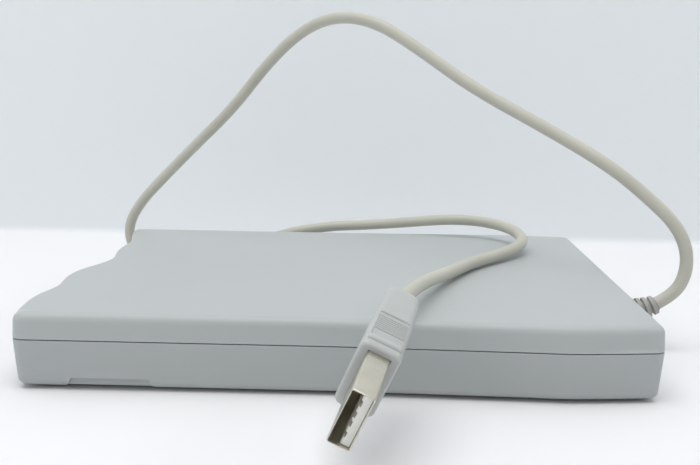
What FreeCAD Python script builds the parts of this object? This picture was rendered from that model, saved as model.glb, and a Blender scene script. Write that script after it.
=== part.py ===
import FreeCAD, Part
import math
import os
import re
from FreeCAD import Vector, Placement, Rotation, Matrix

# External floppy disk drive: a slim two-shell plastic case around a bare drive
# mechanism, with a captive cord and plug. Millimetres, +Z up, origin at the
# bottom centre of the case. +X runs along the long side to the cord end, the
# disk slot is in the wavy end at -X, and -Y is the near long side.

doc = FreeCAD.newDocument("floppy_drive")
sheet = doc.addObject("Spreadsheet::Sheet", "dims")

D = dict(
    # case
    case_len=143.0, case_wid=104.0, case_top=17.5, parting=11.5, line_gap=0.2,
    base_z=0.7, floor_z=2.2, ceiling_z=16.0, wall=1.8, corner=2.6, foot_r=4.5,
    front_block=62.9, slot_half=46.0, slot_low=9.4, slot_high=13.7,
    button_y=33.5, button_wid=9.0, button_hgt=3.2, button_z=4.6, lamp_y=36.0, lamp_z=6.3, lamp_r=1.2,
    exit_y=12.0, exit_z=10.0, relief_r=2.9,
    # mechanism
    chassis_z=2.8, sheet_mm=0.8, chassis_half=48.0, chassis_len=120.0, flange_top=14.6,
    top_plate_z=15.2, top_plate_mm=0.4,
    hub_x=-11.5, rotor_r=17.0, rotor_z=6.0, rotor_mm=0.7, hub_r=13.0, spindle_r=1.5,
    holder_half=46.0, holder_low=9.1, holder_high=14.1, holder_mm=0.4, holder_front=54.4, holder_rear=35.5,
    lift=2.3, stroke=5.5,
    rail_z=5.7, rod_y=10.0, rod_r=1.0, screw_y=12.0, screw_r=0.95, track0_x=28.0, pivot_x=52.5, pivot_z=10.6,
    arm_mm=0.5, arm_raise=9.7, lever_x=54.0, lever_y=42.0, lever_len=40.0, lever_z=14.35, lever_mm=0.55,
    plunger_x=-46.0, plunger_y=41.0, plunger_r=0.85,
    board_z=4.2, board_mm=1.0,
    # cord and plug
    cord_d=3.3, shell_a=12.0, shell_b=4.5, shell_out=13.0, shell_in=4.0, shell_mm=0.3,
    mold_a=14.8, mold_b=8.0, mold_c=26.3,
)
for i, (key, val) in enumerate(D.items(), 1):
    sheet.set("A%d" % i, key)
    sheet.set("B%d" % i, str(val))
    sheet.setAlias("B%d" % i, key)
doc.recompute()


def n(key):
    return float(getattr(sheet, key))


def bind(obj, prop, value):
    """A number is set, a formula over the sheet's aliases is bound."""
    if isinstance(value, str):
        text = re.sub(r"[a-z][a-z_0-9]*", lambda m: "dims." + m.group(0) if m.group(0) in D else m.group(0), value)
        obj.setExpression(prop, text)
    elif prop.startswith("Placement.Base."):
        setattr_base(obj, prop[-1], value)
    else:
        setattr(obj, prop, value)


def setattr_base(obj, axis, value):
    pl = obj.Placement
    base = Vector(pl.Base)
    setattr(base, axis, value)
    obj.Placement = Placement(base, pl.Rotation)


def at(obj, pos, rot=None):
    if rot is not None:
        obj.Placement = Placement(Vector(0, 0, 0), rot)
    for axis, value in zip("xyz", pos):
        bind(obj, "Placement.Base." + axis, value)
    return obj


count = [0]


def tag(prefix):
    count[0] += 1
    return "%s_%03d" % (prefix, count[0])


def box(pos, size):
    b = doc.addObject("Part::Box", tag("box"))
    for prop, value in zip(("Length", "Width", "Height"), size):
        bind(b, prop, value)
    return at(b, pos)


def cyl(pos, r, length, axis="z"):
    c = doc.addObject("Part::Cylinder", tag("cyl"))
    bind(c, "Radius", r)
    bind(c, "Height", length)
    rot = {"z": Rotation(), "x": Rotation(Vector(0, 1, 0), 90), "y": Rotation(Vector(1, 0, 0), -90)}[axis]
    return at(c, pos, rot)


def cone(pos, r1, r2, length, axis="z"):
    c = doc.addObject("Part::Cone", tag("cone"))
    bind(c, "Radius1", r1)
    bind(c, "Radius2", r2)
    bind(c, "Height", length)
    rot = {"z": Rotation(), "x": Rotation(Vector(0, 1, 0), 90), "y": Rotation(Vector(1, 0, 0), -90)}[axis]
    return at(c, pos, rot)


def fuse(*parts):
    f = doc.addObject("Part::MultiFuse", tag("fuse"))
    f.Shapes = list(parts)
    return f


def cut(base, *tools):
    c = doc.addObject("Part::Cut", tag("cut"))
    c.Base = base
    c.Tool = tools[0] if len(tools) == 1 else fuse(*tools)
    return c


def group(*parts):
    g = doc.addObject("Part::Compound", tag("group"))
    g.Links = list(parts)
    return g


def feature(shape, name="shape"):
    f = doc.addObject("Part::Feature", tag(name))
    f.Shape = shape
    return f


# ---- sketched bodies -------------------------------------------------------

def new_body():
    return doc.addObject("PartDesign::Body", tag("body"))


def new_sketch(body, z, loops, circles=(), plane="XY_Plane"):
    """Closed straight-edged loops and circles on one of the body's own planes, lifted by z."""
    s = body.newObject("Sketcher::SketchObject", tag("sketch"))
    face = [f for f in body.Origin.OriginFeatures if f.Role == plane][0]
    s.AttachmentSupport = [(face, "")]
    s.MapMode = "FlatFace"
    if isinstance(z, str):
        bind(s, "AttachmentOffset.Base.z", z)
    else:
        s.AttachmentOffset = Placement(Vector(0, 0, z), Rotation())
    import Sketcher
    for pts in loops:
        first = s.GeometryCount
        m = len(pts)
        for k in range(m):
            a, b = pts[k], pts[(k + 1) % m]
            s.addGeometry(Part.LineSegment(Vector(a[0], a[1], 0), Vector(b[0], b[1], 0)), False)
        for k in range(m):
            s.addConstraint(Sketcher.Constraint("Coincident", first + k, 2, first + (k + 1) % m, 1))
        for k in range(m):
            a, b = pts[k], pts[(k + 1) % m]
            if abs(a[1] - b[1]) < 1e-9:
                s.addConstraint(Sketcher.Constraint("Horizontal", first + k))
            elif abs(a[0] - b[0]) < 1e-9:
                s.addConstraint(Sketcher.Constraint("Vertical", first + k))
    for x, y, r in circles:
        g = s.addGeometry(Part.Circle(Vector(x, y, 0), Vector(0, 0, 1), r), False)
        s.addConstraint(Sketcher.Constraint("Radius", g, r))
    return s


def pad(body, sketch, length):
    p = body.newObject("PartDesign::Pad", tag("pad"))
    p.Profile = sketch
    bind(p, "Length", length)
    sketch.Visibility = False
    body.Tip = p
    doc.recompute()
    return p


def pocket(body, sketch, length, up=True):
    before = body.Shape.Volume
    p = body.newObject("PartDesign::Pocket", tag("pocket"))
    p.Profile = sketch
    bind(p, "Length", length)
    p.Reversed = up
    body.Tip = p
    doc.recompute()
    if not body.Shape.Volume < before - 1e-6:
        p.Reversed = not up
        doc.recompute()
    if not body.Shape.Volume < before - 1e-6:
        raise RuntimeError("pocket %s removed nothing" % p.Name)
    return p


def rect(x0, y0, x1, y1):
    return [(x0, y0), (x1, y0), (x1, y1), (x0, y1)]


NODES = []


def node(name, obj, pos=None):
    obj.Label = name
    NODES.append((name, obj))
    return obj


# ---- outline of the case in plan -------------------------------------------

HL, HW = n("case_len") / 2, n("case_wid") / 2

# The long sides run straight from the slot end, swell by just under 2 mm to a
# soft crest, and fall back to the cord end.
SWELL = [(-70, 0), (-30, 0), (-12, 0.0), (0, 0.08), (12, 0.45), (24, 0.85), (36, 1.28), (46, 1.66), (50.8, 1.84),
         (54.0, 1.66), (59, 1.22), (64, 0.68), (68.9, 0.12)]
# The slot end is a wave: two low lobes near the button, a scoop that frees the
# disk for the fingers, and a flatter lobe running out to the far corner.
WAVE = [(-49.5, -70.6), (-46, -71.05), (-42, -71.38), (-37.5, -71.5), (-33.5, -71.1), (-29.5, -70.1), (-25.5, -69.55),
        (-22, -69.6), (-18, -70.1), (-14.5, -70.3), (-11, -70.0), (-7, -68.95), (-3, -67.3), (1, -65.85), (5, -64.95),
        (9, -64.75), (13, -65.2), (17.5, -65.95), (22, -66.25), (26.5, -66.0), (30.5, -65.85), (34.5, -66.1),
        (39, -66.8), (44, -67.9), (49.5, -69.0)]


def curve_value(table, t):
    c = Part.BSplineCurve()
    c.interpolate([Vector(a, b, 0) for a, b in table])
    lo, hi = c.FirstParameter, c.LastParameter
    for _ in range(60):
        mid = (lo + hi) / 2
        if c.value(mid).x < t:
            lo = mid
        else:
            hi = mid
    return c.value((lo + hi) / 2).y


def swell(x):
    return 0.0 if x <= -12 else max(0.0, curve_value(SWELL, min(x, 68.9)))


def wave(y):
    return curve_value(WAVE, max(-49.5, min(49.5, y)))


def outline(z, d, r=None):
    """Closed plan outline at height z, drawn in by d from the case's side faces."""
    r = max(0.8, n("corner") - d) if r is None else r
    xr = HL - d
    xs_r = xr - r
    yf = HW - d + swell(xs_r)

    def left(y):
        return wave(y) + d * 1.05
    xl_c = left(HW - d - r) + r
    steps = 22
    side = []
    for k in range(steps + 1):
        x = xl_c + (xs_r - xl_c) * k / steps
        side.append((x, HW - d + swell(x)))
    front = [Vector(x, -y, z) for x, y in side]
    back = [Vector(x, y, z) for x, y in reversed(side)]
    y_lo, y_hi = -(HW - d) + r, (HW - d) - r
    wav = [Vector(left(y_hi + (y_lo - y_hi) * k / 30.0), y_hi + (y_lo - y_hi) * k / 30.0, z) for k in range(31)]
    # near-left corner uses the wave's own ends
    wav[-1] = Vector(xl_c - r + (left(y_lo) - (xl_c - r)), y_lo, z)
    q = math.sqrt(0.5)
    edges = []

    def spline(pts):
        c = Part.BSplineCurve()
        c.interpolate(pts)
        edges.append(c.toShape())

    def arc(a, m, b):
        edges.append(Part.Arc(a, m, b).toShape())
    # near-left corner: the near and far ends of the wave stand at different x
    xn = left(y_lo) + r
    near_side = [Vector(xn + (xs_r - xn) * k / steps, 0, z) for k in range(steps + 1)]
    near_side = [Vector(v.x, -(HW - d + swell(v.x)), z) for v in near_side]
    xf = left(y_hi) + r
    far_side = [Vector(xf + (xs_r - xf) * k / steps, 0, z) for k in range(steps + 1)]
    far_side = [Vector(v.x, HW - d + swell(v.x), z) for v in far_side][::-1]
    spline(near_side)
    arc(near_side[-1], Vector(xs_r + r * q, -(yf - r + r * q), z), Vector(xr, -(yf - r), z))
    edges.append(Part.LineSegment(Vector(xr, -(yf - r), z), Vector(xr, yf - r, z)).toShape())
    arc(Vector(xr, yf - r, z), Vector(xs_r + r * q, yf - r + r * q, z), far_side[0])
    spline(far_side)
    top = Vector(left(y_hi), y_hi, z)
    arc(far_side[-1], Vector(xf - r * q, HW - d - r + r * q, z), top)
    wav[0] = top
    wav[-1] = Vector(left(y_lo), y_lo, z)
    spline(wav)
    arc(wav[-1], Vector(xn - r * q, -(HW - d - r + r * q), z), near_side[0])
    return Part.Wire(Part.__sortEdges__(edges))


def prism(z0, z1, d, r=None):
    return Part.Face(outline(z0, d, r)).extrude(Vector(0, 0, z1 - z0))


def outer_shell(z0, d0, z1, d1, round_mm, at_top, steps=5):
    """Tapered wall with its rim rolled over in steps of a quarter circle."""
    secs = [outline(z0, 0.0) if at_top else outline(z1, 0.0)]
    for k in range(steps + 1):
        a = math.pi / 2 * k / steps
        roll = round_mm * (1 - math.cos(a))
        if at_top:
            z = z1 - round_mm + round_mm * math.sin(a)
            secs.append(outline(z, d1 * (z - z0) / (z1 - z0) + roll))
        else:
            z = z0 + round_mm - round_mm * math.sin(a)
            secs.append(outline(z, d0 * (z1 - z) / (z1 - z0) + roll))
    return Part.makeLoft(secs, True, True)


def sbox(x0, y0, z0, x1, y1, z1):
    return Part.makeBox(x1 - x0, y1 - y0, z1 - z0, Vector(x0, y0, z0))


def scyl(x, y, z, r, length, axis=(0, 0, 1)):
    return Part.makeCylinder(r, length, Vector(x, y, z), Vector(*axis))


PL, FB = n("parting"), -n("front_block")
SLO, SHI, SH = n("slot_low"), n("slot_high"), n("slot_half")
SCREWS = [(65.4, -45.4), (65.4, 45.4)]
FEET = [(-56.5, -42.5), (-56.5, 42.5), (57.0, -42.5), (57.0, 42.5)]
DRIVE_SCREWS = [(-40.0, -30.0), (-40.0, 30.0), (30.0, -30.0), (30.0, 30.0)]

# strain relief path: a short bend in the X-Z plane, from level to the cord's angle
EXIT = Vector(80.65, -n("exit_y"), 12.3)
first_run = Vector(4.6, 0, 2.6)
bend = math.atan2(first_run.z, first_run.x)
BEND_X = 71.9
BEND_R = (EXIT.x - BEND_X) / math.sin(bend)
EXIT_Z0 = EXIT.z - BEND_R * (1 - math.cos(bend))

# near-side finger notch along the bottom edge
NOTCH_X0, NOTCH_X1 = -59.3, -39.3

# ---- bottom cover ----------------------------------------------------------
bottom = outer_shell(n("base_z"), 0.85, PL - n("line_gap") / 2, 0.0, 1.75, False)
cav_low = prism(n("floor_z"), 8.0, n("wall"))
cav_mid = prism(8.0, PL + 1, n("wall")).cut(sbox(-90, -70, 7, FB, 70, 13))
tongue = prism(PL - 0.3, PL + 0.7, 0.95).cut(prism(PL - 0.4, PL + 0.8, n("wall") - 0.02))
bosses = [scyl(x, y, n("floor_z") - 0.1, 2.7, PL - n("floor_z") + 0.1) for x, y in SCREWS]
bottom = bottom.cut(cav_low).cut(cav_mid)
inner = prism(n("floor_z") - 0.1, PL - 0.1, n("wall") - 0.3)
for b in bosses:
    bottom = bottom.fuse(b.common(inner))
bottom = bottom.fuse(tongue)
for x, y in DRIVE_SCREWS:
    bottom = bottom.fuse(scyl(x, y, n("floor_z") - 0.1, 3.0, n("chassis_z") - n("floor_z") + 0.1))
for y in (-28.0, 31.0):
    bottom = bottom.fuse(sbox(61.5, y - 2.0, n("floor_z") - 0.1, 68.5, y + 2.0, 3.8))
cuts = [sbox(-90, -SH, SLO, FB + 1, SH, SHI)]
bw, bh = n("button_wid") / 2 + 0.25, n("button_hgt")
cuts.append(sbox(-90, -n("button_y") - bw, n("button_z") - 0.4, FB + 1, -n("button_y") + bw, n("button_z") + bh + 0.25))
cuts.append(scyl(-90, n("lamp_y"), n("lamp_z"), n("lamp_r") + 0.05, 30, (1, 0, 0)))
cuts.append(scyl(66, -n("exit_y"), EXIT_Z0, n("relief_r") + 0.02, 10, (1, 0, 0)))
for x, y in SCREWS:
    cuts += [scyl(x, y, 0, 1.35, 14), scyl(x, y, 0, 2.4, n("floor_z") + 0.9)]
for x, y in FEET:
    cuts.append(scyl(x, y, 0, n("foot_r") + 0.15, n("base_z") + 0.4))
for x, y in DRIVE_SCREWS:
    cuts.append(scyl(x, y, n("floor_z") - 0.2, 0.8, 3))
for c in cuts:
    bottom = bottom.cut(c)
notch = Part.makePolygon([Vector(NOTCH_X0, 0, -0.5), Vector(NOTCH_X0 + 1.6, 0, 2.9), Vector(NOTCH_X1 - 1.2, 0, 2.9),
                          Vector(NOTCH_X1, 0, -0.5), Vector(NOTCH_X0, 0, -0.5)])
notch = Part.Face(notch).extrude(Vector(0, 2.4, 0))
notch.translate(Vector(0, -HW + 0.1 - 1.0, 0))
notch_floor = sbox(NOTCH_X0 + 0.4, -HW, 0, NOTCH_X1 - 0.3, -HW + 3.8, n("base_z") + 0.55)
bottom = bottom.cut(notch).cut(notch_floor).removeSplitter()
node("bottom_cover", feature(bottom, "cover"))

# ---- top cover -------------------------------------------------------------
top = outer_shell(PL + n("line_gap") / 2, 0.0, n("case_top"), 0.3, 2.0, True)
cav_high = prism(14.9, n("ceiling_z"), n("wall"))
cav_mid = prism(PL - 1, 14.9, n("wall")).cut(sbox(-90, -70, 10, FB, 70, 15.5))
groove = prism(PL - 0.5, PL + 0.82, 0.85).cut(prism(PL - 0.6, PL + 0.9, n("wall") + 0.08))
top = top.cut(cav_high).cut(cav_mid).cut(groove)
inner = prism(PL - 0.1, n("ceiling_z") + 0.2, n("wall") - 0.3)
for x, y in SCREWS:
    top = top.fuse(scyl(x, y, PL, 2.6, n("ceiling_z") + 0.1 - PL).common(inner))
cuts = [sbox(-90, -SH, SLO, FB + 1, SH, SHI), scyl(66, -n("exit_y"), EXIT_Z0, n("relief_r") + 0.02, 10, (1, 0, 0))]
for x, y in SCREWS:
    cuts.append(scyl(x, y, PL - 1, 0.95, 5.0))
for c in cuts:
    top = top.cut(c)
top = top.removeSplitter()
node("top_cover", feature(top, "cover"))

# ---- feet and case screws --------------------------------------------------
foot = [cyl((x, y, 0), "foot_r", "base_z+0.4") for x, y in FEET]
node("rubber_feet", group(*foot))
heads = []
for x, y in SCREWS:
    head = cut(cyl((x, y, 1.2), 2.2, 1.6), box((x - 1.2, y - 0.3, 0.9), (2.4, 0.6, 0.9)), box((x - 0.3, y - 1.2, 0.9), (0.6, 2.4, 0.9)))
    heads.append(fuse(head, cyl((x, y, 2.7), 0.95, "parting+0.7")))
node("case_screws", group(*heads))

# ---- drive front: bezel, button, lamp, door ---------------------------------
b = new_body()
s = new_sketch(b, 0, [rect(-49.2, 2.5, 49.2, 15.7), rect(-46.0, n("slot_low"), 46.0, n("slot_high")),
                      rect(-33.5 - 4.75, 4.2, -33.5 + 4.75, 8.05)], [(n("lamp_y"), n("lamp_z"), 1.3)], "YZ_Plane")
pad(b, s, 1.4)
b.Placement = Placement(Vector(-62.6, 0, 0), Rotation())
lugs = [cut(box((-61.2, y, 13.2), (1.9, 1.2, 2.3)), cyl((-60.3, y - 1, 14.45), 0.35, 4, "y")) for y in (-47.9, 46.7)]
node("front_bezel", fuse(b, *lugs))

button = box((-71.4, "-button_y-button_wid/2", "button_z"), (11.4, "button_wid", "button_hgt"))
bevel = doc.addObject("Part::Fillet", tag("round"))
bevel.Base = button
doc.recompute()
tips = [i + 1 for i, e in enumerate(button.Shape.Edges)
        if abs(e.BoundBox.XMin + 71.4) < 1e-4 and abs(e.BoundBox.XMax + 71.4) < 1e-4
        and (e.BoundBox.YLength > 8 or e.BoundBox.ZLength > 3)]
bevel.Edges = [(i, 0.5, 0.5) for i in tips]
node("eject_button", bevel)

lens = fuse(cyl((-66.4, "lamp_y", "lamp_z"), "lamp_r", 5.4, "x"), cyl((-61.0, "lamp_y", "lamp_z"), 1.75, 2.6, "x"))
node("activity_lamp", lens)

# dust door: flap hanging from a wire, closed behind the bezel slot
door_x, door_z = -60.3, 14.45
flap = fuse(box((-60.85, -46.2, 9.15), (0.8, 92.4, 5.3)), cyl((door_x, -46.2, door_z), 0.7, 92.4, "y"))
door = cut(flap, cyl((door_x, -50, door_z), 0.36, 100, "y"),
           box((-61.6, 38.0, 13.5), (2.6, 5.4, 2.0)))
node("dust_door", door)
node("door_wire", cyl((door_x, -48.2, door_z), 0.31, 96.4, "y"))

# ---- chassis ---------------------------------------------------------------
CH = n("chassis_half")
b = new_body()
base_loop = rect(-59.0, -CH, 60.0, CH)
holes = [(x, y, 1.1) for x, y in DRIVE_SCREWS] + [(n("hub_x"), 0, 3.65)]
s = new_sketch(b, "chassis_z", [base_loop, rect(46.0, -16.2, 59.2, -7.9)], holes)
pad(b, s, "sheet_mm")
for sy in (-1, 1):
    s = new_sketch(b, "chassis_z", [rect(-59.0, min(sy * CH, sy * (CH - 0.8)), 60.0, max(sy * CH, sy * (CH - 0.8)))])
    pad(b, s, "flange_top-chassis_z")
s = new_sketch(b, "chassis_z", [rect(59.2, -CH, 60.0, -20.0), rect(59.2, 4.0, 60.0, CH)])
pad(b, s, "flange_top-chassis_z-3")
# upright slots that guide the holder's pins
PIN_X = (-44.0, 24.0)
PIN_Z = n("holder_low") + 1.6
for px in PIN_X:
    s = new_sketch(b, -60.0, [rect(px - 1.05, PIN_Z - n("lift") - 1.05, px + 1.05, PIN_Z + 1.05)], (), "XZ_Plane")
    pocket(b, s, 120.0, False)
node("chassis_plate", b)

b = new_body()
s = new_sketch(b, "top_plate_z", [rect(-58.6, -47.9, 60.0, 47.9), rect(-54.0, -38.0, -30.0, 38.0), rect(8.5, -6.5, 56.0, 6.5),
                                  rect(36.0, 12.0, 56.0, 40.0)], [(n("lever_x"), -n("lever_y"), 1.15)])
pad(b, s, "top_plate_mm")
for sy in (-1, 1):
    s = new_sketch(b, "flange_top", [rect(-50.0, min(sy * 47.9, sy * 47.3), 52.0, max(sy * 47.9, sy * 47.3))])
    pad(b, s, "top_plate_z-flange_top")
node("drive_top_plate", b)

# ---- disk holder -----------------------------------------------------------
HH, HM = n("holder_half"), n("holder_mm")
b = new_body()
hx0, hx1 = -n("holder_front"), n("holder_rear")
notch_loop = [(hx0, -HH), (hx1, -HH), (hx1, -27.0), (14.0, -27.0), (14.0, -6.8), (7.5, -6.8), (7.5, 6.8), (hx1, 6.8), (hx1, HH), (hx0, HH)]
s = new_sketch(b, "holder_high-holder_mm", [notch_loop])
pad(b, s, "holder_mm")
for sy in (-1, 1):
    s = new_sketch(b, "holder_low", [rect(hx0, min(sy * HH, sy * (HH - HM)), hx1, max(sy * HH, sy * (HH - HM)))])
    pad(b, s, "holder_high-holder_low-holder_mm/2")
    s = new_sketch(b, "holder_low", [rect(hx0, min(sy * (HH - 0.1), sy * (HH - 3.6)), hx1, max(sy * (HH - 0.1), sy * (HH - 3.6)))])
    pad(b, s, "holder_mm")
holder_sheet = b
pins = []
for px in PIN_X:
    pins.append(cyl((px, "-holder_half-1.9", PIN_Z), 0.9, "1.9+holder_mm/2", "y"))
    pins.append(cyl((px, "holder_half-holder_mm/2", PIN_Z), 0.9, "1.9+holder_mm/2", "y"))
node("disk_holder", fuse(holder_sheet, *pins))

# ---- slider plate with sloping slots ----------------------------------------
# It lies on the chassis around the motor and its two upright ears lift the holder.
b = new_body()
s = new_sketch(b, 3.9, [[(-55.0, -47.0), (33.0, -47.0), (33.0, -43.6), (-50.2, -43.6), (-50.2, -35.5), (-51.6, -35.5), (-51.6, 43.6),
                         (33.0, 43.6), (33.0, 47.0), (-55.0, 47.0)]])
pad(b, s, 0.5)
ears = []
for sy in (-1, 1):
    y0 = -47.0 if sy < 0 else 46.5
    ears.append(box((-52.0, y0, 4.3), (16.0, 0.5, 8.0)))
    ears.append(box((14.0, y0, 4.3), (19.0, 0.5, 8.0)))
slots = []
for px in PIN_X:
    # As the slider moves to -X by the stroke, the pin sinks by the lift.
    length = math.hypot(n("stroke"), n("lift"))
    ang = math.atan2(-n("lift"), n("stroke"))
    w = 0.9 + 0.16
    ux, uz = math.cos(ang), math.sin(ang)
    nx, nz = -uz, ux
    p0 = (px - 0.0 * ux, PIN_Z)
    p1 = (px + n("stroke"), PIN_Z - n("lift"))
    face = Part.Face(Part.makePolygon([Vector(p0[0] + nx * w, 0, p0[1] + nz * w), Vector(p1[0] + nx * w, 0, p1[1] + nz * w),
                                       Vector(p1[0] - nx * w, 0, p1[1] - nz * w), Vector(p0[0] - nx * w, 0, p0[1] - nz * w),
                                       Vector(p0[0] + nx * w, 0, p0[1] + nz * w)]))
    slot = face.extrude(Vector(0, 100, 0))
    slot.translate(Vector(0, -50, 0))
    for q in (p0, p1):
        slot = slot.fuse(scyl(q[0], -50, q[1], w, 100, (0, 1, 0)))
    slots.append(feature(slot.removeSplitter(), "slot"))
stem = box((-60.0, "-button_y-button_wid/2", 4.4), (8.6, "button_wid", 1.0))
slider = cut(fuse(b, stem, *ears), *slots)
node("slider_plate", slider)

# ---- spindle motor -----------------------------------------------------------
HX = n("hub_x")
b = new_body()
s = new_sketch(b, 3.6, [rect(-33.0, -21.0, 5.4, 21.0)], [(HX, 0, 3.65)])
pad(b, s, 0.4)
node("motor_board", b)
node("bearing_sleeve", cut(cyl((HX, 0, 3.0), 3.6, 2.95), cyl((HX, 0, 2.5), "spindle_r+0.05", 4.0)))
core = cut(cyl((HX, 0, 4.6), 6.4, 0.9), cyl((HX, 0, 4.0), 3.6, 2.0))
teeth = [core]
coil_list = []
for k in range(9):
    a = 40.0 * k
    rot = Rotation(Vector(0, 0, 1), a)
    t = Part.makeBox(7.4, 1.6, 0.9, Vector(5.8, -0.8, 4.6))
    shoe = Part.makeCylinder(14.1, 0.9, Vector(0, 0, 4.6)).cut(Part.makeCylinder(12.8, 0.9, Vector(0, 0, 4.6)))
    wedge = Part.makeBox(4.0, 7.6, 0.9, Vector(11.6, -3.8, 4.6))
    t = t.fuse(shoe.common(wedge)).removeSplitter()
    t.rotate(Vector(0, 0, 0), Vector(0, 0, 1), a)
    t.translate(Vector(HX, 0, 0))
    teeth.append(feature(t, "tooth"))
    c = Part.makeBox(5.2, 3.4, 1.7, Vector(7.2, -1.7, 4.15)).cut(Part.makeBox(6.0, 1.6, 0.9, Vector(6.8, -0.8, 4.6)))
    c.rotate(Vector(0, 0, 0), Vector(0, 0, 1), a)
    c.translate(Vector(HX, 0, 0))
    coil_list.append(feature(c, "coil"))
node("stator_core", fuse(*teeth))
node("stator_coils", group(*coil_list))
rotor = fuse(cyl((HX, 0, "rotor_z"), "rotor_r", "rotor_mm"), cyl((HX, 0, 4.5), "rotor_r", 1.5))
rotor = cut(rotor, cyl((HX, 0, 4.0), "rotor_r-0.8", 2.0), cyl((HX, 0, 3), "spindle_r", 6))
node("spindle_rotor", rotor)
node("rotor_magnet", cut(cyl((HX, 0, 4.6), "rotor_r-0.8", 1.4), cyl((HX, 0, 4.0), 14.6, 3)))
node("hub_table", cut(cyl((HX, 0, 6.7), "hub_r", 0.6), cyl((HX, 0, 6), "spindle_r", 2), cyl((HX + 7.07, 7.07, 6), 1.0, 2)))
tip = cone((HX, 0, 8.2), "spindle_r", 1.0, 0.5)
node("spindle_shaft", fuse(cyl((HX, 0, 3.2), "spindle_r", 5.0), tip))
node("drive_pin", fuse(cyl((HX + 7.07, 7.07, 6.7), 1.0, 1.3), cone((HX + 7.07, 7.07, 8.0), 1.0, 0.7, 0.3)))

# ---- head carriage -----------------------------------------------------------
RZ, T0, PX, PZ = n("rail_z"), n("track0_x"), n("pivot_x"), n("pivot_z")
b = new_body()
s = new_sketch(b, 4.4, [[(24.5, -4.0), (34.0, -6.0), (55.0, -6.0), (55.0, 6.4), (24.5, 6.4)]])
pad(b, s, 2.2)
s = new_sketch(b, 6.6, [rect(26.0, -3.0, 30.0, 3.0)])
pad(b, s, 1.5)
for sy in (-1, 1):
    s = new_sketch(b, 6.6, [rect(50.6, min(sy * 4.6, sy * 6.0), 54.4, max(sy * 4.6, sy * 6.0))])
    pad(b, s, 5.0)
sleeve = cut(fuse(b, box((36.0, 6.2, 4.4), (18.0, 2.6, 2.2)), cyl((36.0, "rod_y", "rail_z"), 1.55, 18.0, "x"),
                  box((40.0, -8.6, 4.6), (4.0, 3.0, 2.0))),
             cyl((20.0, "rod_y", "rail_z"), "rod_r+0.05", 50.0, "x"),
             cyl((PX, -10.0, "pivot_z"), 0.6, 20.0, "y"))
node("head_carriage", sleeve)
node("lower_head", box((26.6, -2.2, 8.1), (2.8, 4.4, 0.8)))
# needle that rides in the lead screw's groove
node("carriage_needle", cyl((42.0, "-screw_y+screw_r+0.06", "rail_z"), 0.45, "screw_y-screw_r-0.06-8.6", "y"))
node("arm_pin", cyl((PX, -6.0, "pivot_z"), 0.6, 12.0, "y"))

# upper arm, drawn lowered, then raised about its pin for the rest position
arm = Part.makeBox(27.0, 6.0, n("arm_mm"), Vector(26.0, -3.0, 11.0 - 0.3))
arm = arm.fuse(Part.makeBox(3.0, 8.6, 1.9, Vector(51.0, -4.3, 9.6))).fuse(scyl(PX, -4.3, PZ, 1.5, 8.6, (0, 1, 0)))
arm = arm.cut(scyl(PX, -5, PZ, 0.66, 10, (0, 1, 0)))
arm = arm.cut(Part.makeBox(10.0, 2.6, 2, Vector(34.0, -1.3, 10.2))).removeSplitter()
pad_up = Part.makeBox(2.8, 4.4, 1.75, Vector(26.6, -2.2, 8.95))
for sh in (arm, pad_up):
    sh.rotate(Vector(PX, 0, PZ), Vector(0, 1, 0), n("arm_raise"))
node("head_arm", feature(arm, "arm"))
node("upper_head", feature(pad_up, "pad"))

# ---- carriage drive ----------------------------------------------------------
node("guide_rod", cyl((18.0, "rod_y", "rail_z"), "rod_r", 40.0, "x"))
clips = []
for x in (18.4, 56.0):
    clips.append(cut(box((x, "rod_y-2.4", 3.6), (1.6, 4.8, 3.7)), cyl((x - 1, "rod_y", "rail_z"), "rod_r", 4, "x")))
node("rod_clips", group(*clips))
node("lead_screw", fuse(cyl((21.2, "-screw_y", "rail_z"), "screw_r", 25.6, "x"), cyl((20.2, "-screw_y", "rail_z"), 0.5, 1.2, "x"),
                        cyl((46.8, "-screw_y", "rail_z"), 0.5, 1.6, "x")))
node("screw_bearing", cut(box((19.6, "-screw_y-1.8", 3.6), (1.2, 3.6, 3.6)), cyl((19, "-screw_y", "rail_z"), 0.56, 3, "x")))
node("stepper_motor", cut(fuse(cyl((47.2, "-screw_y", "rail_z"), 3.3, 11.6, "x"), cyl((46.9, "-screw_y", "rail_z"), 1.6, 0.4, "x")),
                          cyl((46.0, "-screw_y", "rail_z"), 0.56, 3.0, "x")))
node("stepper_strap", cut(box((50.0, "-screw_y-6.4", 3.6), (6.0, 11.8, 5.9)), cyl((49, "-screw_y", "rail_z"), 3.3, 8, "x"),
                          box((49, "-screw_y-6.5", 4.2), (8, 2.6, 6)), box((49, "-screw_y+3.9", 4.2), (8, 2.6, 6)),
                          box((49, "-screw_y-3.3", 3), (8, 6.6, 2.7))))
node("track_sensor", cut(box((56.2, -5.0, 3.6), (2.6, 6.0, 4.6)), box((56.0, -3.4, 5.0), (3.0, 2.6, 4.0))))

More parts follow.
